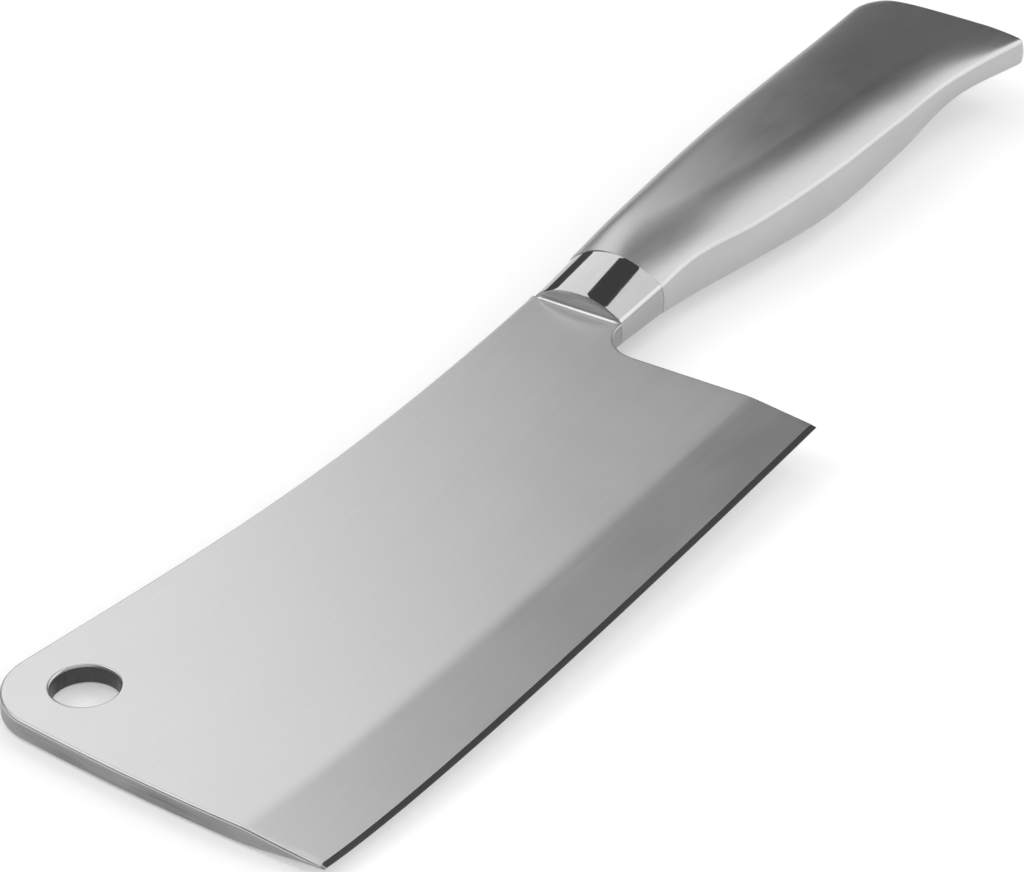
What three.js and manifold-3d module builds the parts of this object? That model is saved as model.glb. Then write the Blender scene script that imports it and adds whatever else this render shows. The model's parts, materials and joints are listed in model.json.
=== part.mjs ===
// Chopping knife: a broad steel blade, a polished bolster and a hollow steel handle on a tang.
// Millimetres. The knife's own axes: X runs from the heel of the cutting edge to the blade's front, Y from the
// spine to the cutting edge, with zero on the straight line between the edge's two ends, and Z is square to
// the blade, with zero in its middle. A height is measured from that line, so a height h lies at Y = -h.
// The finished knife lies on its right side, as it comes to rest on a table.

import * as THREE from 'three';
import { ConvexHull } from 'three/addons/math/ConvexHull.js';
import { mergeVertices } from 'three/addons/utils/BufferGeometryUtils.js';
import Module from 'manifold-3d';

const wasm = await Module();
wasm.setup();

// Fits
const fitGap = 0.3; // between two pieces that are welded, pressed or cast together
const cutRoom = 1; // how far a cutting shape runs past the face that it cuts

// Blade
const bladeThickness = 4;
const edgeLength = 150.4;
const edgeBow = 2.05; // the edge's belly, out from the line between its ends
const edgeBowPlace = 98; // of the fullest point, from the heel
const edgeFlat = 0.16; // width left at the very edge
const edgeBevelHeight = 1.3;
const edgeBevelThickness = 0.9; // at the top of the edge's own bevel
const grindHeight = 15; // of the broad bevel, where the plate starts to thin
const frontHeight = 77.65; // of the corner between front and spine, before it is rounded
const frontLean = 7.4; // of that corner, back from the edge's front end
const frontSlope = 0.15; // lean of the front where it meets the corner, per millimetre of height
const frontCornerRound = 12.7;
const frontBowReach = 35; // length of the front's straight upper stretch before it bows
const spineSlope = 0.163; // fall of the spine, just behind the front corner
const spineFrontReach = 52; // pull of that slope on the spine's curve
const spineNeckReach = 64; // pull of the flat stretch at the neck
const spineNeckSlope = 0.03;
const rimRound = 0.35; // broken edge all round the plate
const holeRadius = 6;
const holeBack = 12; // centre, back from the corner
const holeDrop = 15.55; // centre, down from the corner

// Neck, between blade and bolster
const neckLength = 7.9; // from the heel's line back to the bolster
const neckSpine = 65;
const neckBelly = 45.85;
const heelFillet = 7.5;
const tongueLength = 10; // of the stub that the bolster holds
const tongueShare = 0.63; // of the neck's depth

// Bolster
const bolsterLength = 13;
const spigotLength = 8; // of the stub that the handle's shells are pushed over

// Handle
const handleLength = 109.2; // behind the bolster
const handleThickness = 17;

// Sections of bolster and handle: how far the spine and the belly lie from the neck's middle, as shares of its
// depth, where the crown tops the way from spine to belly, the half thickness there and the half width of the
// underside, as shares of half the handle thickness, and how square the spine side is. A handle section's place
// is a share of the handle's length.
const bolsterFront = { spine: 0.508, belly: 0.506, top: 0.54, crown: 0.641, ridge: 0.294, fullness: 0.55 };
const bolsterBack = { spine: 0.534, belly: 0.52, top: 0.54, crown: 0.765, ridge: 0.353, fullness: 0.55 };
const handleSections = [
  { place: 0, spine: 0.555, belly: 0.527, top: 0.48, crown: 0.782, ridge: 0.353, fullness: 0.57 },
  { place: 0.091, spine: 0.567, belly: 0.563, top: 0.42, crown: 0.871, ridge: 0.465, fullness: 0.62 },
  { place: 0.237, spine: 0.604, belly: 0.745, top: 0.527, crown: 0.976, ridge: 0.459, fullness: 0.7 },
  { place: 0.419, spine: 0.64, belly: 0.903, top: 0.62, crown: 1, ridge: 0.512, fullness: 0.77 },
  { place: 0.638, spine: 0.655, belly: 0.926, top: 0.68, crown: 0.847, ridge: 0.418, fullness: 0.84 },
  { place: 0.838, spine: 0.686, belly: 0.908, top: 0.715, crown: 0.576, ridge: 0.259, fullness: 0.89 },
  { place: 1, spine: 0.722, belly: 1.102, top: 0.72, crown: 0.406, ridge: 0.295, fullness: 0.91 },
];
const crownReach = 0.3; // share of the flank that the crown's level stretch pulls on
const flankRise = 0.45; // share of the flank's height that its slope at the ridge pulls on
const flankSlope = THREE.MathUtils.degToRad(42);
const undersideBow = 0.14; // of the underside, out at its middle, as a share of its half width
const shellWall = 1.2;
const buttWall = 2;
const buttSpineRound = 7;
const buttBellyRound = 1.2;
const buttEdgeRound = 1;

// Tang
const tangLength = 74;
const tangThickness = 5;
const tangShare = 0.52; // of the neck's depth
const tangTipNarrowing = 1.5; // on each edge
const tangSeatDepth = 9;
const fillingCover = 5; // of filling behind the tang's tip

// Facets
const flankSteps = 6;
const undersideSteps = 3;
const handleRings = 28;
const ringSpread = 1.6; // how much closer the handle's rings stand at the butt
const bolsterRings = 6;
const edgeRings = 16;
const frontSteps = 4; // few, so that the front rests on one straight stretch
const roundSteps = 12;
const arcPull = 0.5523; // makes a cubic curve between two square tangents a circle's quarter

const bolsterFrontX = -neckLength - fitGap;
const seamX = bolsterFrontX - bolsterLength - fitGap; // front of the handle shells
const neckDepth = neckSpine - neckBelly;
const neckMiddle = (neckSpine + neckBelly) / 2;
const tongueHalf = (tongueShare * neckDepth) / 2;
const tangHalf = (tangShare * neckDepth) / 2;

// Three.js geometry to a solid and back
function solid(geometry) {
  const bare = new THREE.BufferGeometry();
  bare.setAttribute('position', geometry.getAttribute('position'));
  bare.setIndex(geometry.getIndex());
  const merged = mergeVertices(bare, 1e-4);
  const vertProperties = new Float32Array(merged.getAttribute('position').array);
  const triVerts = new Uint32Array(merged.getIndex().array);
  return new wasm.Manifold(new wasm.Mesh({ numProp: 3, vertProperties, triVerts }));
}

function geometryOf(body) {
  const { vertProperties, triVerts } = body.getMesh();
  const geometry = new THREE.BufferGeometry();
  geometry.setAttribute('position', new THREE.BufferAttribute(vertProperties, 3));
  geometry.setIndex(new THREE.BufferAttribute(triVerts, 1));
  geometry.computeVertexNormals();
  return geometry;
}

function box(lowX, highX, lowY, highY, lowZ, highZ) {
  const geometry = new THREE.BoxGeometry(highX - lowX, highY - lowY, highZ - lowZ);
  geometry.translate((lowX + highX) / 2, (lowY + highY) / 2, (lowZ + highZ) / 2);
  return solid(geometry);
}

// A closed body through rings of points, each ring turning the same way, with a fan over each end
function loft(rings) {
  const size = rings[0].length;
  const points = rings.flat();
  const triangles = [];
  for (let ring = 0; ring + 1 < rings.length; ring++) {
    for (let i = 0; i < size; i++) {
      const a = ring * size + i;
      const b = ring * size + ((i + 1) % size);
      triangles.push(a, b, a + size, b, b + size, a + size);
    }
  }
  for (const [start, turn] of [[0, -1], [(rings.length - 1) * size, 1]]) {
    const ring = points.slice(start, start + size);
    const middle = ring.reduce((sum, p) => sum.add(p), new THREE.Vector3()).divideScalar(size);
    const centre = points.push(middle) - 1;
    for (let i = 0; i < size; i++) {
      const pair = [start + i, start + ((i + 1) % size)];
      triangles.push(centre, ...(turn > 0 ? pair : pair.reverse()));
    }
  }
  const geometry = new THREE.BufferGeometry().setFromPoints(points);
  geometry.setIndex(triangles);
  return solid(geometry);
}

// Blade
function bladeOutline() {
  const corner = new THREE.Vector2(edgeLength - frontLean, -frontHeight);
  const frontRise = new THREE.Vector2(frontSlope, 1).normalize();
  const frontTop = corner.clone().addScaledVector(frontRise, frontCornerRound);
  const frontPull = frontTop.clone().addScaledVector(frontRise, frontBowReach);
  const spineFall = new THREE.Vector2(-1, spineSlope).normalize();
  const spineFront = corner.clone().addScaledVector(spineFall, frontCornerRound);
  const spinePull = spineFront.clone().addScaledVector(spineFall, spineFrontReach);

  const outline = new THREE.Shape();
  outline.moveTo(0, edgeBow + cutRoom);
  outline.lineTo(edgeLength, edgeBow + cutRoom);
  const front = new THREE.QuadraticBezierCurve(new THREE.Vector2(edgeLength, 0), frontPull, frontTop);
  for (const { x, y } of front.getPoints(frontSteps)) {
    outline.lineTo(x, y);
  }
  const cornerIn = frontTop.clone().lerp(corner, arcPull);
  const cornerOut = spineFront.clone().lerp(corner, arcPull);
  outline.bezierCurveTo(cornerIn.x, cornerIn.y, cornerOut.x, cornerOut.y, spineFront.x, spineFront.y);
  outline.bezierCurveTo(
    spinePull.x, spinePull.y,
    spineNeckReach - neckLength, spineNeckReach * spineNeckSlope - neckSpine,
    -neckLength, -neckSpine,
  );
  outline.lineTo(-neckLength, -neckMiddle - tongueHalf);
  outline.lineTo(-neckLength - tongueLength, -neckMiddle - tongueHalf);
  outline.lineTo(-neckLength - tongueLength, -neckMiddle + tongueHalf);
  outline.lineTo(-neckLength, -neckMiddle + tongueHalf);
  outline.lineTo(-neckLength, -neckBelly);
  outline.lineTo(-heelFillet, -neckBelly);
  outline.absarc(-heelFillet, heelFillet - neckBelly, heelFillet, -Math.PI / 2, 0, false);

  const hole = new THREE.Path();
  hole.absarc(corner.x - holeBack, corner.y + holeDrop, holeRadius, 0, 2 * Math.PI, false);
  outline.holes.push(hole);
  return outline;
}

// The plate's section thins towards the edge and follows its bow
function grind() {
  const half = bladeThickness / 2;
  const slope = (half - edgeBevelThickness / 2) / (grindHeight - edgeBevelHeight);
  const top = half + cutRoom;
  const topHeight = grindHeight + cutRoom / slope;
  const bow = new THREE.QuadraticBezierCurve(
    new THREE.Vector2(0, 0),
    new THREE.Vector2(2 * edgeBowPlace - edgeLength / 2, 2 * edgeBow),
    new THREE.Vector2(edgeLength, 0),
  );
  const edge = bow.getPoints(edgeRings);
  edge.unshift(new THREE.Vector2(-neckLength - tongueLength - cutRoom, 0));
  edge.push(new THREE.Vector2(edgeLength + cutRoom, 0));
  const flank = [
    [0, edgeFlat / 2],
    [edgeBevelHeight, edgeBevelThickness / 2],
    [topHeight, top],
    [frontHeight + cutRoom, top],
  ];
  const section = [...flank, ...flank.toReversed().map(([height, z]) => [height, -z])];
  return loft(edge.map(({ x, y }) => section.map(([height, z]) => new THREE.Vector3(x, y - height, z))));
}

function blade() {
  const plate = new THREE.ExtrudeGeometry(bladeOutline(), {
    depth: bladeThickness - 2 * rimRound,
    curveSegments: roundSteps,
    bevelThickness: rimRound,
    bevelSize: rimRound,
    bevelOffset: -rimRound,
    bevelSegments: 2,
  });
  plate.translate(0, 0, rimRound - bladeThickness / 2);
  return solid(plate).intersect(grind());
}

// Handle and bolster sections
function sized({ spine, belly, top, crown, ridge, fullness }) {
  return {
    spine: neckMiddle + spine * neckDepth,
    belly: neckMiddle - belly * neckDepth,
    top,
    crown: (crown * handleThickness) / 2,
    ridge: (ridge * handleThickness) / 2,
    fullness,
  };
}

function curveOf(name) {
  const places = handleSections.map((section) => section.place);
  const values = handleSections.map((section) => section[name]);
  return new THREE.CubicInterpolant(places, values, 1);
}

const handleCurves = Object.fromEntries(
  ['spine', 'belly', 'top', 'crown', 'ridge', 'fullness'].map((name) => [name, curveOf(name)]),
);

function handleSection(place) {
  const along = THREE.MathUtils.clamp(place / handleLength, 0, 1);
  const entries = Object.entries(handleCurves);
  return sized(Object.fromEntries(entries.map(([name, curve]) => [name, curve.evaluate(along)[0]])));
}

// The same section with its walls drawn in
function inset(section, wall) {
  return {
    ...section,
    spine: section.spine - wall,
    belly: section.belly + wall,
    crown: section.crown - wall,
    ridge: section.ridge * (1 - wall / section.crown),
  };
}

// What a rounding takes off, at a distance from the end that it rounds
function roundOff(radius, distance) {
  const into = Math.max(radius - distance, 0);
  return radius - Math.sqrt(radius * radius - into * into);
}

// Rounded towards the butt, in outline and in thickness
function buttRounded(section, distance) {
  const off = roundOff(buttEdgeRound, distance);
  return {
    ...section,
    spine: section.spine - roundOff(buttSpineRound, distance),
    belly: section.belly + roundOff(buttBellyRound, distance),
    crown: section.crown - off,
    ridge: section.ridge * (1 - off / section.crown),
  };
}

// One closed ring: over the left side from spine to belly, and back under the right side
function sectionRing(section, x) {
  const spine = new THREE.Vector2(-section.spine, 0);
  const belly = new THREE.Vector2(-section.belly, 0);
  const crown = new THREE.Vector2(THREE.MathUtils.lerp(spine.x, belly.x, section.top), section.crown);
  const ridge = new THREE.Vector2(belly.x - undersideBow * section.ridge, section.ridge);
  const flank = ridge.x - crown.x;
  const rise = flankRise * (section.crown - section.ridge);
  const curves = [
    new THREE.CubicBezierCurve(
      spine,
      new THREE.Vector2(spine.x, section.fullness * section.crown),
      new THREE.Vector2(THREE.MathUtils.lerp(crown.x, spine.x, section.fullness), section.crown),
      crown,
    ).getPoints(flankSteps),
    new THREE.CubicBezierCurve(
      crown,
      new THREE.Vector2(crown.x + crownReach * flank, section.crown),
      new THREE.Vector2(ridge.x - rise / Math.tan(flankSlope), ridge.y + rise),
      ridge,
    ).getPoints(flankSteps),
    new THREE.QuadraticBezierCurve(
      ridge,
      new THREE.Vector2(belly.x, section.ridge / 2),
      belly,
    ).getPoints(undersideSteps),
  ];
  const over = curves.flatMap((points) => points.slice(0, -1));
  const under = over.slice(1).reverse().map((p) => new THREE.Vector2(p.x, -p.y));
  return [...over, belly, ...under].map((p) => new THREE.Vector3(x, p.x, p.y));
}

function handleRing(place, section) {
  return sectionRing(section, seamX - place);
}

// Places along the handle, closer together towards the butt
function handlePlaces(from, to) {
  return Array.from({ length: handleRings + 1 }, (_, i) => {
    return to - (to - from) * (1 - i / handleRings) ** ringSpread;
  });
}

function handleBody(from, to, wall) {
  const rings = handlePlaces(from, to).map((place) => {
    return handleRing(place, buttRounded(inset(handleSection(place), wall), to - place));
  });
  return loft(rings);
}

function handleShells() {
  const hollow = handleBody(-cutRoom, handleLength - buttWall, shellWall);
  const shell = handleBody(0, handleLength, 0).subtract(hollow);
  const { min, max } = shell.boundingBox();
  const halfSpace = (side) => box(
    min[0] - cutRoom, max[0] + cutRoom,
    min[1] - cutRoom, max[1] + cutRoom,
    side > 0 ? min[2] - cutRoom : -fitGap / 2, side > 0 ? fitGap / 2 : max[2] + cutRoom,
  );
  return { left: shell.subtract(halfSpace(1)), right: shell.subtract(halfSpace(-1)) };
}

function tangOutline(clearance) {
  const front = seamX - spigotLength + tangSeatDepth + clearance;
  const tip = seamX - spigotLength + tangSeatDepth - tangLength - clearance;
  const spine = neckMiddle + tangHalf + clearance;
  const belly = neckMiddle - tangHalf - clearance;
  return new THREE.Shape([
    new THREE.Vector2(front, -spine),
    new THREE.Vector2(front, -belly),
    new THREE.Vector2(tip, -belly - tangTipNarrowing),
    new THREE.Vector2(tip, -spine + tangTipNarrowing),
  ]);
}

function tang(clearance = 0) {
  const depth = tangThickness + 2 * clearance;
  const bar = new THREE.ExtrudeGeometry(tangOutline(clearance), { depth, bevelEnabled: false });
  bar.translate(0, 0, -depth / 2);
  return solid(bar);
}

function bolster() {
  const rings = Array.from({ length: bolsterRings + 1 }, (_, i) => {
    const share = i / bolsterRings;
    const blend = (name) => [name, THREE.MathUtils.lerp(bolsterFront[name], bolsterBack[name], share)];
    const section = sized(Object.fromEntries(Object.keys(bolsterFront).map(blend)));
    return sectionRing(section, bolsterFrontX - share * bolsterLength);
  });
  const spigotPlaces = [-fitGap - cutRoom, 0, spigotLength / 2, spigotLength];
  const spigot = loft(spigotPlaces.map((place) => {
    return handleRing(place, inset(handleSection(place), shellWall + fitGap));
  }));
  const half = bladeThickness / 2 + fitGap;
  const slot = box(
    -neckLength - tongueLength - fitGap, bolsterFrontX + cutRoom,
    -neckMiddle - tongueHalf - fitGap, -neckMiddle + tongueHalf + fitGap,
    -half, half,
  );
  return loft(rings).add(spigot).subtract(slot).subtract(tang(fitGap));
}

function filling() {
  const from = spigotLength + fitGap;
  const to = spigotLength - tangSeatDepth + tangLength + fillingCover;
  const steps = handleRings / 2;
  const rings = Array.from({ length: steps + 1 }, (_, i) => {
    const place = from + ((to - from) * i) / steps;
    return handleRing(place, inset(handleSection(place), shellWall + fitGap));
  });
  return loft(rings).subtract(tang(fitGap));
}

// Finishes
const satinSteel = { color: 0xc4c5c6, roughness: 0.32, metalness: 1 };
const brushedSteel = { color: 0xb9babc, roughness: 0.38, metalness: 1 };
const polishedSteel = { color: 0xd2d3d4, roughness: 0.08, metalness: 1 };
const plainSteel = { color: 0x8f9194, roughness: 0.55, metalness: 1 };
const castResin = { color: 0x5a5752, roughness: 0.85, metalness: 0 };

function piece(name, body, finish) {
  const mesh = new THREE.Mesh(geometryOf(body), new THREE.MeshStandardMaterial(finish));
  mesh.name = name;
  return mesh;
}

const shells = handleShells();
const steel = [
  piece('blade', blade(), satinSteel),
  piece('bolster', bolster(), polishedSteel),
  piece('tang', tang(), plainSteel),
  piece('handle_shell_left', shells.left, brushedSteel),
  piece('handle_shell_right', shells.right, brushedSteel),
];
const pieces = [...steel, piece('handle_filling', filling(), castResin)];

// Centre of mass of the steel, which outweighs the filling many times over
function steelCentre() {
  const [a, b, c] = [new THREE.Vector3(), new THREE.Vector3(), new THREE.Vector3()];
  const centre = new THREE.Vector3();
  let total = 0;
  for (const { geometry } of steel) {
    const position = geometry.getAttribute('position');
    const index = geometry.getIndex().array;
    for (let i = 0; i < index.length; i += 3) {
      a.fromBufferAttribute(position, index[i]);
      b.fromBufferAttribute(position, index[i + 1]);
      c.fromBufferAttribute(position, index[i + 2]);
      const volume = a.dot(b.clone().cross(c)) / 6;
      total += volume;
      centre.addScaledVector(a.add(b).add(c), volume / 4);
    }
  }
  return centre.divideScalar(total);
}

// The face of the knife's hull, on its right side, that the centre of mass stands over
function restingFace() {
  const points = pieces.flatMap(({ geometry }) => {
    const position = geometry.getAttribute('position');
    const point = (_, i) => new THREE.Vector3().fromBufferAttribute(position, i);
    return Array.from({ length: position.count }, point);
  });
  const centre = steelCentre();
  return new ConvexHull().setFromPoints(points).faces.find((face) => {
    if (face.normal.z > -0.5) return false;
    const corners = [face.edge, face.edge.next, face.edge.prev].map((edge) => edge.head().point);
    const foot = centre.clone().addScaledVector(face.normal, -face.distanceToPoint(centre));
    return new THREE.Triangle(...corners).containsPoint(foot);
  });
}

// Laid on that face, with the origin under the middle of the box around the knife
const knife = new THREE.Group();
knife.add(...pieces);
knife.quaternion.setFromUnitVectors(restingFace().normal, new THREE.Vector3(0, 0, -1));
knife.updateMatrixWorld(true);
const extent = new THREE.Box3().setFromObject(knife, true);
const middle = extent.getCenter(new THREE.Vector3());
knife.position.set(-middle.x, -middle.y, -extent.min.z);

export default knife;
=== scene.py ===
"""Chopping knife: fine surfaces, finishes, studio and camera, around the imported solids.

The knife's own axes, in millimetres: X from the heel of the cutting edge to the blade's front, Y from the
spine to the cutting edge, with zero on the line between the edge's two ends, and Z square to the blade,
with zero in its middle. A height h lies at Y = -h.

The main sizes are those of the solids. Only the bevels, the bolster's back end and the butt differ a little,
because they follow the photograph more closely here.
"""

import json
import math

import bmesh
import bpy
import numpy as np
from mathutils import Matrix, Vector
from mathutils.geometry import delaunay_2d_cdt


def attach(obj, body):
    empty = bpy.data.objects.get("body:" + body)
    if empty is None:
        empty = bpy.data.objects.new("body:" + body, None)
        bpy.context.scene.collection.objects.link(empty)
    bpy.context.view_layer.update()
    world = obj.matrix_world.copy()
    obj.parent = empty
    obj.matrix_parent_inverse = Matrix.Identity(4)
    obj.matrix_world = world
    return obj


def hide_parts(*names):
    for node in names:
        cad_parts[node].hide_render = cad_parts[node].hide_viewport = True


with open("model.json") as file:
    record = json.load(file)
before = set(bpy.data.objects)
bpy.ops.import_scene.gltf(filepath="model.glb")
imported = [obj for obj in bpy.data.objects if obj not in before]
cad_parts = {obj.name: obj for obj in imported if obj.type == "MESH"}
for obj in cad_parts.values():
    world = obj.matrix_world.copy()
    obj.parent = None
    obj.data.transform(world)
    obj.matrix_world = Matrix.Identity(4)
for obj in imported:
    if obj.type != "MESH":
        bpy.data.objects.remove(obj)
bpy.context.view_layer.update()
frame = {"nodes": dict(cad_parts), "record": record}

# Blade
BLADE_HALF = 2.0  # half its thickness
EDGE_LENGTH = 150.4
EDGE_BOW = 2.05  # the edge's belly, out from the line between its ends
EDGE_BOW_PLACE = 98.0  # of the fullest point, from the heel
EDGE_HALF = 0.08  # half the width left at the very edge
EDGE_BEVEL_HEIGHT = 1.15
EDGE_BEVEL_HALF = 0.41  # half the thickness at the top of the edge's own bevel
GRIND_HEEL_HEIGHT = 13.4  # of the broad bevel, where the plate starts to thin
GRIND_FRONT_HEIGHT = 16.7
FRONT_HEIGHT = 77.65  # of the corner between front and spine, before it is rounded
FRONT_LEAN = 7.4  # of that corner, back from the edge's front end
FRONT_SLOPE = 0.15  # lean of the front where it meets the corner, per millimetre of height
FRONT_BOW_REACH = 35.0  # length of the front's straight upper stretch before it bows
CORNER_ROUND = 12.7
ARC_PULL = 0.5523  # makes a cubic curve between two square tangents a circle's quarter
SPINE_SLOPE = 0.163  # fall of the spine, just behind the front corner
SPINE_FRONT_REACH = 52.0  # pull of that slope on the spine's curve
SPINE_NECK_REACH = 64.0  # pull of the flat stretch at the neck
SPINE_NECK_SLOPE = 0.03
HOLE_RADIUS = 6.0
HOLE_BACK = 12.0  # centre, back from the corner
HOLE_DROP = 15.55  # centre, down from the corner
NECK_LENGTH = 7.9  # from the heel's line back to the bolster
NECK_SPINE = 65.0
NECK_BELLY = 45.85
HEEL_FILLET = 7.5

# Bolster and handle
FIT_GAP = 0.3  # between two pieces that are welded or pressed together
BOLSTER_LENGTH = 13.0
SPIGOT_LENGTH = 8.0  # of the stub that the handle's shells are pushed over
HANDLE_LENGTH = 109.2  # behind the bolster
HANDLE_HALF = 8.5  # half its thickness
SHELL_WALL = 1.2
BUTT_WALL = 2.0
BUTT_SPINE_ROUND = 7.0
BUTT_BELLY_ROUND = 2.2
BUTT_EDGE_ROUND = 1.7

# Spine, belly, top, crown, ridge and fullness of each section: how far spine and belly lie from the neck's
# middle, as shares of its depth, where the crown tops the way from spine to belly, the half thickness there
# and the half width of the underside, as shares of the handle's half thickness, and how square the spine
# side is
BOLSTER_FRONT = (0.508, 0.506, 0.54, 0.641, 0.294, 0.55)
BOLSTER_BACK = (0.543, 0.523, 0.52, 0.776, 0.353, 0.56)
HANDLE_PLACES = (0, 0.091, 0.237, 0.419, 0.638, 0.838, 1)  # shares of the handle's length
HANDLE_SECTIONS = (
    (0.555, 0.527, 0.48, 0.782, 0.353, 0.57),
    (0.567, 0.563, 0.42, 0.871, 0.465, 0.62),
    (0.604, 0.745, 0.527, 0.976, 0.459, 0.7),
    (0.64, 0.903, 0.62, 1.0, 0.512, 0.77),
    (0.655, 0.926, 0.68, 0.847, 0.418, 0.84),
    (0.686, 0.908, 0.715, 0.576, 0.259, 0.89),
    (0.722, 1.135, 0.72, 0.406, 0.295, 0.91),
)
CROWN_REACH = 0.3  # share of the flank that the crown's level stretch pulls on
FLANK_RISE = 0.45  # share of the flank's height that its slope at the ridge pulls on
FLANK_SLOPE = math.radians(42)
UNDERSIDE_BOW = 0.14  # as a share of the underside's half width

# Fine detail
RIM_ROUND = 0.55  # broken edge of the plate
NOTCH_ROUND = 0.15  # of the heel and the notch behind it
RIM_SHARE = 0.7  # of the plate's half thickness, the most that either takes
RIM_SUPPORT = 0.3  # width of the flat strip beside a broken edge or the hole
HOLE_ROUND = 0.45
GRIND_BLEND = 0.14  # how softly the broad bevel runs into the flat face, as a thickness
RIDGE_ROUND = 0.6  # length taken off each side of the handle's long ridge
RIDGE_SHARE = 0.3  # of the underside's half width, the most that it takes
SEAM_GAP = 0.01  # between bolster and handle
SEAM_ROUND = 0.03
BOLSTER_EDGE_ROUND = 0.14
FOOT_FILLET = 0.6  # where the bolster's front runs out on the blade
FOOT_SHARE = 0.6  # of the front's height above the blade, the most that the fillet takes
FOOT_GAP = 0.04  # between that fillet and the blade
SPIGOT_START = 0.5  # of the spigot's second ring, behind the seam's middle

# Steps of the curves, and angles of the roundings, in degrees
FRONT_STEPS, CORNER_STEPS, SPINE_STEPS, HEEL_FILLET_STEPS, HEEL_STEPS = 70, 30, 130, 24, 40
EDGE_STEPS, HOLE_STEPS, EDGE_BEVEL_STEPS = 180, 96, 150
RIM_ANGLES = (18, 36, 54, 72, 90)
BOLSTER_ANGLES = (0, 22, 45, 68, 90)
FOOT_ANGLES = (90, 72, 54, 36, 18, 0)
OVER_STEPS, SIDE_STEPS, RIDGE_STEPS, UNDER_STEPS = 26, 26, 6, 9
FINE_STEPS = 200  # of a curve that is spaced anew
BOLSTER_ROWS, HANDLE_ROWS = 24, 70
BUTT_ROUNDINGS = ((BUTT_SPINE_ROUND, 22), (BUTT_BELLY_ROUND, 8), (BUTT_EDGE_ROUND, 8))  # with their steps
BUTT_SHARES = (0.75, 0.5, 0.25, 0)  # of the butt's half thickness, for the rows that close it

# The blade's net of points
BEVEL_INSET = 1.0  # of the line on top of the edge's bevel, from either end
BEVEL_ROW_GAP = 0.2  # from that line to the next rows
BEVEL_ROWS = (  # heights above the edge
    EDGE_BEVEL_HEIGHT - BEVEL_ROW_GAP, EDGE_BEVEL_HEIGHT + BEVEL_ROW_GAP,
    3, 5, 7, 9, *np.arange(11, 19, 0.5), 19,
)
BEVEL_SPACING = 1.5
FLAT_LOWEST, FLAT_START, FLAT_SPACING = 24, -6, 5  # first height, first X, and the step of both
HOLE_CLEAR, RIM_CLEAR = 1.8, 1.3  # widths around hole and rim that have no loose points
SUPPORT_START, SUPPORT_END = 8, 4  # points of the two rims, next to the edge, without a flat strip
NET_EPSILON = 1e-6
HOLE_SLACK, EDGE_SLACK = 0.1, 0.01  # within which a wall belongs to the hole or to the edge

# Cleaning of the meshes, in metres and degrees
WELD_DISTANCE = 1e-7
LEAST_EDGE = 1e-8
SHARP_ANGLE = 50
BOLSTER_SHARP_ANGLE = 40

# Places of the finishes in the list of materials of blade, bolster and handle
SATIN, GROUND, HONED, CUT_WALL_AND_SHADE = range(4)
POLISHED, FACE_GROUND, RIDGE_POLISH_AND_HIGHLIGHT = range(3)
BRUSHED, RIDGE_WEAR_AND_HIGHLIGHT = range(2)

NECK_DEPTH = NECK_SPINE - NECK_BELLY
NECK_MIDDLE = (NECK_SPINE + NECK_BELLY) / 2
BOLSTER_X = -NECK_LENGTH - FIT_GAP
SEAM_X = BOLSTER_X - BOLSTER_LENGTH - FIT_GAP / 2  # middle of the seam between bolster and handle
CORNER = np.array([EDGE_LENGTH - FRONT_LEAN, -FRONT_HEIGHT])
HOLE = CORNER + np.array([-HOLE_BACK, HOLE_DROP])
EDGE_PULL = np.array([2 * EDGE_BOW_PLACE - EDGE_LENGTH / 2, 2 * EDGE_BOW])

# The knife's resting place, from the mounts on the two mirrored faces of its blade
MOUNT_PLACE = Vector((0.075, -0.04, 0))  # between the two mounts, in the knife's axes and metres
MOUNTS = {mount["name"]: mount for mount in frame["record"]["mounts"]}
LEFT, RIGHT = MOUNTS["blade_left_face"], MOUNTS["blade_right_face"]
TURN = Vector((0, 0, 1)).rotation_difference(Vector(LEFT["axis"])).to_matrix()
FACE_MIDDLE = (Vector(LEFT["pos_m"]) + Vector(RIGHT["pos_m"])) / 2
ORIGIN = FACE_MIDDLE - TURN @ MOUNT_PLACE


def placed(points):
    """Points in the knife's axes and millimetres, in the row frame and metres."""
    turned = np.asarray(points, float) / 1000 @ np.array(TURN).T
    return turned + np.array(ORIGIN)


def crease(mesh, one, other):
    """Sharpens the line between two finishes."""
    shaper = bmesh.new()
    shaper.from_mesh(mesh)
    for edge in shaper.edges:
        if {face.material_index for face in edge.link_faces} == {one, other}:
            edge.smooth = False
    shaper.to_mesh(mesh)
    shaper.free()


def piece(name, points, faces, materials, indices, replaced, sharp=SHARP_ANGLE, creased=None):
    """A smooth object on the knife's body, in place of one of its solids."""
    mesh = bpy.data.meshes.new(name)
    mesh.from_pydata([tuple(p) for p in placed(points)], [], [tuple(int(i) for i in face) for face in faces])
    for material in materials:
        mesh.materials.append(material)
    mesh.polygons.foreach_set("material_index", np.asarray(indices, np.int32))
    cleaner = bmesh.new()
    cleaner.from_mesh(mesh)
    bmesh.ops.remove_doubles(cleaner, verts=cleaner.verts, dist=WELD_DISTANCE)
    bmesh.ops.dissolve_degenerate(cleaner, edges=cleaner.edges, dist=LEAST_EDGE)
    bmesh.ops.recalc_face_normals(cleaner, faces=cleaner.faces)
    cleaner.to_mesh(mesh)
    cleaner.free()
    mesh.polygons.foreach_set("use_smooth", [True] * len(mesh.polygons))
    mesh.set_sharp_from_angle(angle=math.radians(sharp))
    if creased:
        crease(mesh, *creased)
    obj = bpy.data.objects.new(name, mesh)
    bpy.context.scene.collection.objects.link(obj)
    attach(obj, "root")
    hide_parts(replaced)


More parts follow.
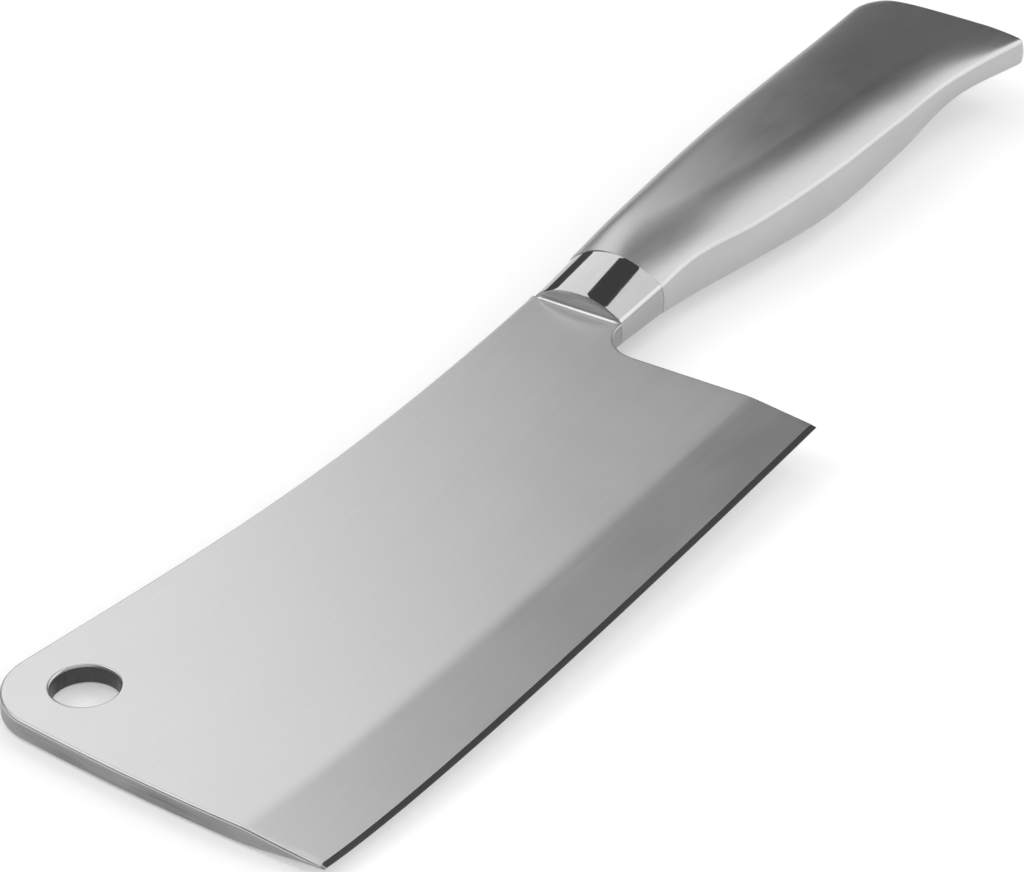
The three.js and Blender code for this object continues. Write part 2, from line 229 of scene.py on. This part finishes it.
def bezier(controls, steps):
    """Points of a curve of any degree, without its last one."""
    t = np.linspace(0, 1, steps, endpoint=False)[:, None]
    points = [np.repeat(np.array([c], float), steps, 0) for c in controls]
    while len(points) > 1:
        points = [a + (b - a) * t for a, b in zip(points, points[1:])]
    return points[0]


def cut_end(line, taken, steps):
    """A line without its last stretch, as evenly spaced points."""
    along = np.concatenate([[0], np.cumsum(np.linalg.norm(np.diff(line, axis=0), axis=1))])
    at = np.linspace(0, along[-1] - taken, steps)
    return np.column_stack([np.interp(at, along, line[:, k]) for k in (0, 1)])


def unit(vector):
    return np.asarray(vector, float) / np.linalg.norm(vector)


def inward(line):
    """Unit normals of a line, on the side where the plate is."""
    tangent = np.gradient(line, axis=0)
    tangent /= np.linalg.norm(tangent, axis=1)[:, None]
    return np.column_stack([tangent[:, 1], -tangent[:, 0]])


def inside(points, loop):
    """Which points a closed outline holds."""
    a, b = loop, np.roll(loop, -1, 0)
    x, y = points[:, :1], points[:, 1:2]
    crosses = (a[:, 1] > y) != (b[:, 1] > y)
    with np.errstate(divide="ignore", invalid="ignore"):
        at = a[:, 0] + (y - a[:, 1]) * (b[:, 0] - a[:, 0]) / (b[:, 1] - a[:, 1])
    return (np.sum(crosses & (x < at), 1) % 2) == 1


def distance(points, line):
    """From each point to the nearest point of a line."""
    gaps = np.linalg.norm(points[:, None, :] - line[None, :, :], axis=2)
    return gaps.min(1)


def edge_y(x):
    """The bowed cutting edge."""
    a = EDGE_LENGTH - 2 * EDGE_PULL[0]
    b = 2 * EDGE_PULL[0]
    x = np.clip(x, 0, EDGE_LENGTH)
    t = (-b + np.sqrt(b * b + 4 * a * x)) / (2 * a)
    return 2 * t * (1 - t) * EDGE_PULL[1]


def half_thickness(points):
    """Of the ground plate, by the height above the edge."""
    height = np.maximum(edge_y(points[:, 0]) - points[:, 1], 0)
    along = np.clip(points[:, 0] / EDGE_LENGTH, 0, 1)
    grind_height = GRIND_HEEL_HEIGHT + (GRIND_FRONT_HEIGHT - GRIND_HEEL_HEIGHT) * along
    bevel = EDGE_HALF + height * (EDGE_BEVEL_HALF - EDGE_HALF) / EDGE_BEVEL_HEIGHT
    slope = (BLADE_HALF - EDGE_BEVEL_HALF) / (grind_height - EDGE_BEVEL_HEIGHT)
    broad = EDGE_BEVEL_HALF + (height - EDGE_BEVEL_HEIGHT) * slope
    soft = np.maximum(GRIND_BLEND - np.abs(broad - BLADE_HALF), 0) / GRIND_BLEND
    broad = np.minimum(broad, BLADE_HALF) - soft * soft * GRIND_BLEND / 4
    return np.minimum(bevel, broad)


def blade_rims():
    """The plate's outline: from the edge's front end by the spine to the neck, and on to the heel."""
    rise = unit((FRONT_SLOPE, 1))
    fall = unit((-1, SPINE_SLOPE))
    front_top = CORNER + CORNER_ROUND * rise
    spine_front = CORNER + CORNER_ROUND * fall
    neck = np.array([BOLSTER_X, -NECK_SPINE])
    turn = np.radians(np.linspace(90, 0, HEEL_FILLET_STEPS, endpoint=False))
    fillet_middle = np.array([-HEEL_FILLET, HEEL_FILLET - NECK_BELLY])
    fillet = fillet_middle + HEEL_FILLET * np.column_stack([np.cos(turn), -np.sin(turn)])
    above = [
        bezier([(EDGE_LENGTH, 0), front_top + FRONT_BOW_REACH * rise, front_top], FRONT_STEPS),
        bezier([front_top, front_top + (CORNER - front_top) * ARC_PULL,
                spine_front + (CORNER - spine_front) * ARC_PULL, spine_front], CORNER_STEPS),
        bezier([spine_front, spine_front + SPINE_FRONT_REACH * fall,
                neck + SPINE_NECK_REACH * np.array([1, SPINE_NECK_SLOPE]), neck], SPINE_STEPS),
        [neck],
    ]
    below = [
        [(BOLSTER_X, -NECK_BELLY)],
        fillet,
        bezier([(0, HEEL_FILLET - NECK_BELLY), (0, 0)], HEEL_STEPS),
        [(0, 0)],
    ]
    return np.vstack(above), np.vstack(below)


class Net:
    """Points of the plate's left face, how far each lies below it, and the lines that the mesh follows."""

    def __init__(self):
        self.points = []
        self.drops = []
        self.links = []

    def add(self, points, drop=0, closed=False, linked=True):
        start = sum(map(len, self.points))
        count = len(points)
        self.points.append(np.asarray(points, float))
        self.drops.append(np.broadcast_to(np.asarray(drop, float), count))
        if linked:
            lines = count if closed else count - 1
            self.links += [(start + i, start + (i + 1) % count) for i in range(lines)]

    def meshed(self):
        """Corners, their drops, and the triangles between them."""
        places = [Vector(p) for p in np.vstack(self.points)]
        found = delaunay_2d_cdt(places, self.links, [], 0, NET_EPSILON)
        corners = np.array([tuple(v) for v in found[0]])
        triangles = np.array([tuple(f) for f in found[2]])
        drops = np.concatenate(self.drops)
        kept_drops = np.array([max((drops[i] for i in origins), default=0.0) for origins in found[3]])
        return corners, kept_drops, triangles


def loose_points(rim, loop):
    """Points that are close on the bevels and far apart on the flat, clear of hole and rim."""
    rows = []
    for height in BEVEL_ROWS:
        x = np.arange(BEVEL_SPACING, EDGE_LENGTH, BEVEL_SPACING)
        rows.append(np.column_stack([x, edge_y(x) - height]))
    for height in np.arange(FLAT_LOWEST, FRONT_HEIGHT, FLAT_SPACING):
        x = np.arange(FLAT_START, EDGE_LENGTH, FLAT_SPACING)
        rows.append(np.column_stack([x, np.full(len(x), -height)]))
    points = np.vstack(rows)
    clear = np.linalg.norm(points - HOLE, axis=1) > HOLE_RADIUS + HOLE_CLEAR
    points = points[inside(points, loop) & clear]
    return points[distance(points, rim) > RIM_CLEAR]


def blade_net(above, below, edge, circle):
    """The plate's outline and hole, the rows of their roundings, the edge's bevel and the loose points."""
    loop = np.vstack([above, below, edge])
    rims = []
    for line, most, kept, supported in (
        (above, RIM_ROUND, slice(1, None), slice(SUPPORT_START, None)),
        (below, NOTCH_ROUND, slice(None, -1), slice(None, -SUPPORT_END)),
    ):
        radius = np.minimum(most, RIM_SHARE * half_thickness(line))
        rims.append((line, inward(line), radius, kept, supported))
    net = Net()
    net.add(loop, np.concatenate([rims[0][2], rims[1][2], np.zeros(len(edge))]), closed=True)
    net.add(HOLE + HOLE_RADIUS * circle, HOLE_ROUND, closed=True)
    rows = [(math.radians(angle), 0) for angle in RIM_ANGLES] + [(math.pi / 2, RIM_SUPPORT)]
    for angle, more in rows:
        shift = 1 - math.cos(angle)
        drop = 1 - math.sin(angle)
        for line, normal, radius, kept, supported in rims:
            part = supported if more else kept
            moved = line + normal * (radius * shift + more)[:, None]
            net.add(moved[part], (radius * drop)[part])
        net.add(HOLE + (HOLE_RADIUS + HOLE_ROUND * shift + more) * circle, HOLE_ROUND * drop, closed=True)
    x = np.linspace(BEVEL_INSET, EDGE_LENGTH - BEVEL_INSET, EDGE_BEVEL_STEPS)
    net.add(np.column_stack([x, edge_y(x) - EDGE_BEVEL_HEIGHT]))
    net.add(loose_points(np.vstack([above, below]), loop), linked=False)
    return net


def blade(materials):
    above, below = blade_rims()
    edge = bezier([(0, 0), EDGE_PULL, (EDGE_LENGTH, 0)], EDGE_STEPS)[1:]
    turns = np.linspace(0, 2 * math.pi, HOLE_STEPS, endpoint=False)
    circle = np.column_stack([np.cos(turns), np.sin(turns)])
    verts, drops, triangles = blade_net(above, below, edge, circle).meshed()
    lift = half_thickness(verts) - drops

    middles = verts[triangles].mean(1)
    in_plate = inside(middles, np.vstack([above, below, edge]))
    triangles = triangles[in_plate & ~inside(middles, HOLE + HOLE_RADIUS * circle)]
    corners = verts[triangles]
    e1, e2 = corners[:, 1] - corners[:, 0], corners[:, 2] - corners[:, 0]
    turned = e1[:, 0] * e2[:, 1] - e1[:, 1] * e2[:, 0] < 0
    triangles[turned] = triangles[turned][:, ::-1]
    on_bevel = edge_y(corners[:, :, 0].mean(1)) - corners[:, :, 1].mean(1) < EDGE_BEVEL_HEIGHT

    def wall_finish(a, b):
        middle = (verts[a] + verts[b]) / 2
        if np.linalg.norm(middle - HOLE) < HOLE_RADIUS + HOLE_SLACK:
            # The hole's wall takes the very dark steel, with the hole's shade painted into it.
            return CUT_WALL_AND_SHADE
        return HONED if edge_y(middle[0]) - middle[1] < EDGE_SLACK else GROUND

    count = len(verts)
    sides = dict.fromkeys((int(a), int(b)) for t in triangles for a, b in zip(t, np.roll(t, -1)))
    walls = [(a + count, b + count, b, a) for a, b in sides if (b, a) not in sides]
    points = np.vstack([np.column_stack([verts, lift]), np.column_stack([verts, -lift])])
    faces = [tuple(t) for t in triangles] + [tuple(t[::-1] + count) for t in triangles] + walls
    indices = [*np.where(on_bevel, HONED, SATIN)] * 2 + [wall_finish(a, b) for _, _, a, b in walls]
    piece("knife_blade", points, faces, materials, indices, "blade", creased=(SATIN, HONED))


def sized(shares):
    """A section in millimetres, where it isn't a share of its own width."""
    spine, belly, top, crown, ridge, fullness = shares
    return np.array([
        NECK_MIDDLE + spine * NECK_DEPTH,
        NECK_MIDDLE - belly * NECK_DEPTH,
        top,
        crown * HANDLE_HALF,
        ridge * HANDLE_HALF,
        fullness,
    ])


def handle_section(place):
    """Smooth through the handle's sections, with slopes that are the mean of the neighbouring ones."""
    at = np.array(HANDLE_PLACES, float)
    values = np.array(HANDLE_SECTIONS)
    rises = np.diff(values, axis=0) / np.diff(at)[:, None]
    slopes = np.vstack([rises[:1], (rises[1:] + rises[:-1]) / 2, rises[-1:]])
    along = min(max(place / HANDLE_LENGTH, 0), 1)
    i = min(int(np.searchsorted(at, along, side="right")) - 1, len(at) - 2)
    step = at[i + 1] - at[i]
    t = (along - at[i]) / step
    value = (
        (2 * t**3 - 3 * t**2 + 1) * values[i] + (t**3 - 2 * t**2 + t) * step * slopes[i]
        + (3 * t**2 - 2 * t**3) * values[i + 1] + (t**3 - t**2) * step * slopes[i + 1]
    )
    return sized(value)


def inset(section, wall):
    """A section that is smaller by a wall all round."""
    spine, belly, top, crown, ridge, fullness = section
    return np.array([spine - wall, belly + wall, top, crown - wall, ridge * (1 - wall / crown), fullness])


def round_off(radius, distance_in):
    """What a rounding takes off, at a distance from the end that it rounds."""
    into = max(radius - distance_in, 0)
    return radius - math.sqrt(radius * radius - into * into)


def butt_rounded(section, distance_in):
    """A section near the butt, less what the butt's roundings take off."""
    spine, belly, top, crown, ridge, fullness = section
    off = round_off(BUTT_EDGE_ROUND, distance_in)
    return np.array([
        spine - round_off(BUTT_SPINE_ROUND, distance_in),
        belly + round_off(BUTT_BELLY_ROUND, distance_in),
        top,
        crown - off,
        ridge * (1 - off / crown),
        fullness,
    ])


def half_ring(section):
    """(y, z) from spine to belly over the left side, with its long ridge rounded."""
    spine_y, belly_y = -section[0], -section[1]
    top_share, crown, ridge, fullness = section[2:]
    spine, belly = np.array([spine_y, 0]), np.array([belly_y, 0])
    top = np.array([spine_y + (belly_y - spine_y) * top_share, crown])
    corner = np.array([belly_y - UNDERSIDE_BOW * ridge, ridge])
    flank = corner[0] - top[0]
    over = [spine, (spine_y, fullness * crown), (top[0] + (spine_y - top[0]) * fullness, crown), top]
    rise = FLANK_RISE * (crown - ridge)
    pull = corner + np.array([-rise / math.tan(FLANK_SLOPE), rise])
    side = [top, (top[0] + CROWN_REACH * flank, crown), pull, corner]
    under = [corner, (belly_y, ridge / 2), belly]
    taken = min(RIDGE_ROUND, RIDGE_SHARE * ridge)
    side_points = cut_end(np.vstack([bezier(side, FINE_STEPS), [corner]]), taken, SIDE_STEPS)
    under_points = cut_end(np.vstack([bezier(under, FINE_STEPS), [belly]])[::-1], taken, UNDER_STEPS)[::-1]
    ridge_points = bezier([side_points[-1], corner, under_points[0]], RIDGE_STEPS)[1:]
    return np.vstack([bezier(over, OVER_STEPS), side_points, ridge_points, under_points])


def whole_ring(section):
    over = half_ring(section)
    return np.vstack([over, over[-2:0:-1] * (1, -1)])


def on_ridge(strip):
    """Whether a strip of half a ring lies on the long ridge, where the finish is smoother, as rubbed by use,
    and lighter in colour, a painted highlight.
    """
    first = OVER_STEPS + SIDE_STEPS - 1
    return first < strip < first + RIDGE_STEPS - 1


def row_of(ring, x):
    return np.column_stack([np.full(len(ring), x), ring])


def squashed(row, share):
    """A row of points, nearer to the blade's middle plane."""
    return row * (1, 1, share)


def strips(rows, columns, closed):
    """Faces between rows of the same number of points."""
    faces = []
    for r in range(rows - 1):
        for c in range(columns if closed else columns - 1):
            n = (c + 1) % columns
            faces.append((r * columns + c, r * columns + n, (r + 1) * columns + n, (r + 1) * columns + c))
    return faces


def bolster_face(ring):
    """Rows of the bolster's front, from the middle plane out, with a fillet at the blade."""
    foot = BLADE_HALF + FOOT_GAP
    height = np.abs(ring[:, 2])
    side = np.sign(ring[:, 2])
    stands = height > foot
    fillet = np.where(stands, np.minimum(FOOT_FILLET, FOOT_SHARE * (height - foot)), 0)

    def row(forward, z):
        x = BOLSTER_X + np.where(stands, forward, 0)
        return np.column_stack([x, ring[:, 1], side * np.where(stands, z, height)])

    rows = [squashed(ring, 0), row(0, foot)]
    for angle in np.radians(FOOT_ANGLES):
        rows.append(row(fillet * (1 - math.cos(angle)), foot + fillet * (1 - math.sin(angle))))
    return rows + [row(0, (height + foot + fillet) / 2)]


def bolster(materials):
    back_x = SEAM_X + SEAM_GAP / 2
    spigot_wall = SHELL_WALL + FIT_GAP

    def section(x):
        share = (BOLSTER_X - x) / (BOLSTER_X - back_x)
        return sized(np.array(BOLSTER_FRONT) * (1 - share) + np.array(BOLSTER_BACK) * share)

    def rounded(end, way, radius):
        """Rows of a small rounding at an end of the outer skin."""
        rows = []
        for angle in np.radians(BOLSTER_ANGLES):
            ring = whole_ring(inset(section(end), radius * (1 - math.cos(angle))))
            rows.append(row_of(ring, end + way * radius * (1 - math.sin(angle))))
        return rows

    def spigot_row(place, x):
        return row_of(whole_ring(inset(handle_section(place), spigot_wall)), x)

    front = rounded(BOLSTER_X, -1, BOLSTER_EDGE_ROUND)[::-1]
    skin_x = np.linspace(BOLSTER_X - 2 * BOLSTER_EDGE_ROUND, back_x + 2 * SEAM_ROUND, BOLSTER_ROWS)
    skin = [row_of(whole_ring(section(x)), x) for x in skin_x]
    back = rounded(back_x, 1, SEAM_ROUND)
    spigot = [spigot_row(0, back_x)]
    for place in (SPIGOT_START, SPIGOT_LENGTH / 2, SPIGOT_LENGTH):
        spigot.append(spigot_row(place, SEAM_X - place))
    spigot.append(squashed(spigot[-1], 0))
    face = bolster_face(front[0])
    rows = face + front + skin + back + spigot
    columns = len(front[0])
    faces = strips(len(rows), columns, True)

    def finish(index):
        row, strip = divmod(index, columns)
        if row < len(face):
            return FACE_GROUND
        # The bolster's ridge strips take the polished steel that is lighter in colour, a painted highlight.
        return RIDGE_POLISH_AND_HIGHLIGHT if on_ridge(strip) or on_ridge(columns - 1 - strip) else POLISHED

    indices = [finish(i) for i in range(len(faces))]
    piece("knife_bolster", np.vstack(rows), faces, materials, indices, "bolster",
          BOLSTER_SHARP_ANGLE)


def handle_places():
    """Places along the handle, dense where the butt is rounded."""
    ends = {0.0}
    for radius, steps in BUTT_ROUNDINGS:
        ends |= {radius * (1 - math.cos(a)) for a in np.radians(np.linspace(0, 90, steps))}
    places = list(np.linspace(0, HANDLE_LENGTH - max(ends), HANDLE_ROWS, endpoint=False))
    return places + [HANDLE_LENGTH - end for end in sorted(ends, reverse=True)]


def handle_shell(name, side, materials, replaced):
    front_x = SEAM_X - SEAM_GAP / 2
    places = handle_places()

    def skin(length, wall, seam):
        rows = []
        for place in places:
            along = place * length / HANDLE_LENGTH
            section = inset(handle_section(along), wall + round_off(seam, place))
            ring = half_ring(butt_rounded(section, length - along))
            rows.append(row_of(ring, front_x - along))
        return rows + [squashed(rows[-1], share) for share in BUTT_SHARES]

    outer = skin(HANDLE_LENGTH, 0, SEAM_ROUND)
    inner = skin(HANDLE_LENGTH - BUTT_WALL, SHELL_WALL, 0)
    rows, columns = len(outer), len(outer[0])
    offset = rows * columns
    outer_faces = strips(rows, columns, False)
    inner_faces = [tuple(i + offset for i in face[::-1]) for face in outer_faces]
    border = [r * columns for r in range(rows)]
    border += [(rows - 1) * columns + c for c in range(1, columns)]
    border += [r * columns + columns - 1 for r in range(rows - 2, -1, -1)]
    border += list(range(columns - 2, 0, -1))
    rim_faces = [(a, b, b + offset, a + offset) for a, b in zip(border, border[1:] + border[:1])]
    # The ridge's strips take the smoother steel that is lighter in colour: rubbed by use, with a painted
    # highlight.
    indices = [RIDGE_WEAR_AND_HIGHLIGHT if on_ridge(i % (columns - 1)) else BRUSHED for i in range(len(outer_faces))]
    indices += [BRUSHED] * (len(inner_faces) + len(rim_faces))
    points = np.vstack(outer + inner) * (1, 1, side)
    faces = outer_faces + inner_faces + rim_faces
    piece(name, points, faces, materials, indices, replaced)


# Finishes
GRAIN_SHARE, GRAIN_DETAIL, GRAIN_ROUGHNESS = 0.55, 4, 0.6
CLOUD_SHARE, CLOUD_DETAIL, CLOUD_ROUGHNESS = 0.45, 3, 0.5
CLOUD_SCALE = (45, 70, 70)
NOISE_LOW, NOISE_HIGH = 0.3, 0.7  # where the noise mostly lies
RELIEF_STRENGTH = 0.3
BLUE_TINT = 1.005


def knife_axes(tree):
    """Coordinates along the knife's own axes, in metres."""
    source = tree.nodes.new("ShaderNodeTexCoord")
    turn = tree.nodes.new("ShaderNodeMapping")
    turn.inputs["Rotation"].default_value = TURN.inverted().to_euler()
    tree.links.new(source.outputs["Object"], turn.inputs["Vector"])
    return turn.outputs["Vector"]


def maths(tree, operation, *values):
    """The result of a Math node, from numbers and other nodes' results."""
    node = tree.nodes.new("ShaderNodeMath")
    node.operation = operation
    for socket, value in zip(node.inputs, values):
        if isinstance(value, bpy.types.NodeSocket):
            tree.links.new(value, socket)
        else:
            socket.default_value = value
    return node.outputs[0]


def noise(tree, vector, scale, detail, roughness):
    stretch = tree.nodes.new("ShaderNodeMapping")
    stretch.inputs["Scale"].default_value = scale
    tree.links.new(vector, stretch.inputs["Vector"])
    texture = tree.nodes.new("ShaderNodeTexNoise")
    texture.inputs["Scale"].default_value = 1
    texture.inputs["Detail"].default_value = detail
    texture.inputs["Roughness"].default_value = roughness
    tree.links.new(stretch.outputs["Vector"], texture.inputs["Vector"])
    return texture.outputs["Fac"]


def ranged(tree, value, low, high):
    """A noise, spread over a range."""
    span = tree.nodes.new("ShaderNodeMapRange")
    ends = {"From Min": NOISE_LOW, "From Max": NOISE_HIGH, "To Min": low, "To Max": high}
    for name, number in ends.items():
        span.inputs[name].default_value = number
    tree.links.new(value, span.inputs["Value"])
    return span.outputs["Result"]


def tinted(tree, value, dark, light):
    mix = tree.nodes.new("ShaderNodeMix")
    mix.data_type = "RGBA"
    mix.inputs["A"].default_value = (*dark, 1)
    mix.inputs["B"].default_value = (*light, 1)
    tree.links.new(value, mix.inputs["Factor"])
    return mix.outputs["Result"]


def steel(name, dark, light, rough, grain, depth, metallic=1.0):
    """Steel with a fine grain and faint clouds, in colour, roughness and relief."""
    material = bpy.data.materials.new(name)
    material.use_nodes = True
    tree = material.node_tree
    shader = tree.nodes["Principled BSDF"]
    shader.inputs["Metallic"].default_value = metallic
    axes = knife_axes(tree)
    lines = noise(tree, axes, grain, GRAIN_DETAIL, GRAIN_ROUGHNESS)
    clouds = noise(tree, axes, CLOUD_SCALE, CLOUD_DETAIL, CLOUD_ROUGHNESS)
    mixed = maths(tree, "MULTIPLY_ADD", lines, GRAIN_SHARE, maths(tree, "MULTIPLY", clouds, CLOUD_SHARE))
    colour = tinted(tree, ranged(tree, mixed, 0, 1), dark, light)
    tree.links.new(colour, shader.inputs["Base Color"])
    tree.links.new(ranged(tree, mixed, *rough), shader.inputs["Roughness"])
    relief = tree.nodes.new("ShaderNodeBump")
    relief.inputs["Strength"].default_value = RELIEF_STRENGTH
    relief.inputs["Distance"].default_value = depth
    tree.links.new(lines, relief.inputs["Height"])
    tree.links.new(relief.outputs["Normal"], shader.inputs["Normal"])
    return material


def grey(level):
    return (level, level, level * BLUE_TINT)


# Name, dark and light colour, range of roughness, grain per metre along each axis, and depth of the grain
satin = steel("satin_steel", grey(0.54), grey(0.6), (0.3, 0.37), (60, 3500, 3500), 4e-6)
ground = steel("ground_steel", grey(0.18), grey(0.46), (0.35, 0.5), (90, 90, 5000), 1.5e-5)
honed = steel("honed_steel", grey(0.42), grey(0.5), (0.08, 0.13), (60, 5000, 5000), 1e-6)
# Very dark steel on the hole's cut wall: the shade inside the hole, painted into its colour
cut_wall_and_shade = steel("hole_wall_steel_with_painted_shade", grey(0.05), grey(0.11), (0.25, 0.4), (900, 900, 300), 1e-5)
polished = steel("polished_steel", grey(0.36), grey(0.39), (0.035, 0.07), (300, 1500, 1500), 2e-7)
# Polished steel that is lighter in colour on the bolster's ridge: a painted highlight
ridge_polish_and_highlight = steel("ridge_steel_polish_and_painted_highlight", grey(0.5), grey(0.54), (0.06, 0.1), (300, 1500, 1500), 2e-7)
face_ground = steel("face_ground_steel", grey(0.5), grey(0.88), (0.25, 0.42), (200, 60, 2000), 2e-5)
brushed = steel("brushed_steel", grey(0.45), grey(0.51), (0.3, 0.37), (70, 2600, 2600), 4e-6)
# Smoother than the brushed steel, as rubbed by use, and lighter in colour as a painted highlight along the
# handle's ridge
ridge_wear_and_highlight = steel("ridge_steel_wear_and_painted_highlight", grey(0.49), grey(0.55), (0.23, 0.29), (70, 2600, 2600), 3e-6)
rolled = steel("rolled_steel", grey(0.36), grey(0.5), (0.45, 0.65), (150, 800, 800), 2e-5)
cast = steel("cast_filling", (0.24, 0.23, 0.21), (0.4, 0.38, 0.35), (0.75, 0.95), (1600, 1600, 1600), 1e-4,
             metallic=0.0)

blade([satin, ground, honed, cut_wall_and_shade])
bolster([polished, face_ground, ridge_polish_and_highlight])
handle_shell("knife_handle_left", 1, [brushed, ridge_wear_and_highlight], "handle_shell_left")
handle_shell("knife_handle_right", -1, [brushed, ridge_wear_and_highlight], "handle_shell_right")
for node, material in (("tang", rolled), ("handle_filling", cast)):
    for slot in frame["nodes"][node].material_slots:
        slot.material = material

# Camera, as in the photograph
AIM = (29.377, -44.398, 0)  # the point in the picture's middle, in the knife's axes and millimetres
AIM_DISTANCE = 1.3116  # metres
HEADING, LIFT, ROLL = math.radians(125.04), math.radians(33.35), math.radians(-2.45)
LENS, SENSOR_WIDTH = 263.67, 36  # millimetres
FAR_CLIP = 20  # metres

right = TURN @ Vector((math.cos(HEADING), math.sin(HEADING), 0))
away = TURN @ Vector((-math.sin(HEADING), math.cos(HEADING), 0))
normal = TURN @ Vector((0, 0, 1))
up = math.sin(LIFT) * away + math.cos(LIFT) * normal
back = math.sin(LIFT) * normal - math.cos(LIFT) * away
rolled_right = math.cos(ROLL) * right + math.sin(ROLL) * up
rolled_up = math.cos(ROLL) * up - math.sin(ROLL) * right

camera_data = bpy.data.cameras.new("camera")
camera_data.lens = LENS
camera_data.sensor_width = SENSOR_WIDTH
camera_data.clip_end = FAR_CLIP
camera = bpy.data.objects.new("camera", camera_data)
aim = Vector(placed([AIM])[0])
camera_turn = Matrix((rolled_right, rolled_up, back)).transposed()
camera.matrix_world = Matrix.Translation(aim + AIM_DISTANCE * back) @ camera_turn.to_4x4()
bpy.context.scene.collection.objects.link(camera)
bpy.context.scene.camera = camera

# Studio, in metres
SIDE = Vector((right.x, right.y, 0)).normalized()
DEEP = Vector((away.x, away.y, 0)).normalized()
FLOOR_REACH, FLOOR_DROP = 4, 0.0002
FLOOR_GREY, FLOOR_ROUGHNESS = 0.9, 0.9
FLOOR_GLOW = 0.29  # for the camera and in reflections, so that the floor shows white
WORLD_STRENGTH = 0.115
WHITE = (1, 1, 1, 1)


def spot(across, deep, high):
    """A point of the studio: to the camera's right, away from it, and up from the floor."""
    return SIDE * across + DEEP * deep + Vector((aim.x, aim.y, high))


def panel(name, at, facing, size, radiance, lean=0):
    """A soft light, by its place, the point that it faces, its size and the radiance of its surface."""
    width, height = size
    data = bpy.data.lights.new(name, "AREA")
    data.shape = "RECTANGLE"
    data.size, data.size_y = width, height
    data.energy = radiance * math.pi * width * height
    lamp = bpy.data.objects.new(name, data)
    outward = (spot(*at) - spot(*facing)).normalized()
    turned = outward.to_track_quat("Z", "Y").to_matrix() @ Matrix.Rotation(lean, 3, "Z")
    lamp.matrix_world = Matrix.Translation(spot(*at)) @ turned.to_4x4()
    lamp.visible_camera = False
    bpy.context.scene.collection.objects.link(lamp)


def floor():
    mesh = bpy.data.meshes.new("floor")
    corners = [(-1, -1), (1, -1), (1, 1), (-1, 1)]
    mesh.from_pydata([(FLOOR_REACH * x, FLOOR_REACH * y, 0) for x, y in corners], [], [(0, 1, 2, 3)])
    material = bpy.data.materials.new("floor")
    material.use_nodes = True
    tree = material.node_tree
    shader = tree.nodes["Principled BSDF"]
    shader.inputs["Base Color"].default_value = (FLOOR_GREY, FLOOR_GREY, FLOOR_GREY, 1)
    shader.inputs["Roughness"].default_value = FLOOR_ROUGHNESS
    shader.inputs["Specular IOR Level"].default_value = 0
    path = tree.nodes.new("ShaderNodeLightPath").outputs
    seen = maths(tree, "MAXIMUM", path["Is Camera Ray"], path["Is Glossy Ray"])
    seen = maths(tree, "MAXIMUM", seen, path["Is Transmission Ray"])
    shader.inputs["Emission Color"].default_value = WHITE
    tree.links.new(maths(tree, "MULTIPLY", seen, FLOOR_GLOW), shader.inputs["Emission Strength"])
    mesh.materials.append(material)
    obj = bpy.data.objects.new("floor", mesh)
    obj.location.z = -FLOOR_DROP
    bpy.context.scene.collection.objects.link(obj)


floor()
panel("back_panel", at=(-0.26, 1.2, 1.17), facing=(-0.26, 0, 1.17), size=(0.62, 1.5), radiance=1.55,
      lean=math.radians(18))
panel("right_wall", at=(0.910, 0.287, 0.92), facing=(0, 0, 0.92), size=(1.29, 1.8), radiance=1.42)
panel("top_light", at=(0, 0, 1.6), facing=(0, 0, 0), size=(1.6, 1.6), radiance=0.75)
panel("left_key", at=(-1.08, 0.2, 1.1), facing=(0, 0, 0), size=(1.3, 1.1), radiance=1.55)
panel("front_wall", at=(0.35, -1.5, 0.85), facing=(0, 0, 0.3), size=(3.0, 1.5), radiance=0.8)

world = bpy.data.worlds.new("studio")
world.use_nodes = True
background = world.node_tree.nodes["Background"]
background.inputs["Color"].default_value = WHITE
background.inputs["Strength"].default_value = WORLD_STRENGTH
bpy.context.scene.world = world
bpy.context.scene.view_settings.view_transform = "Standard"
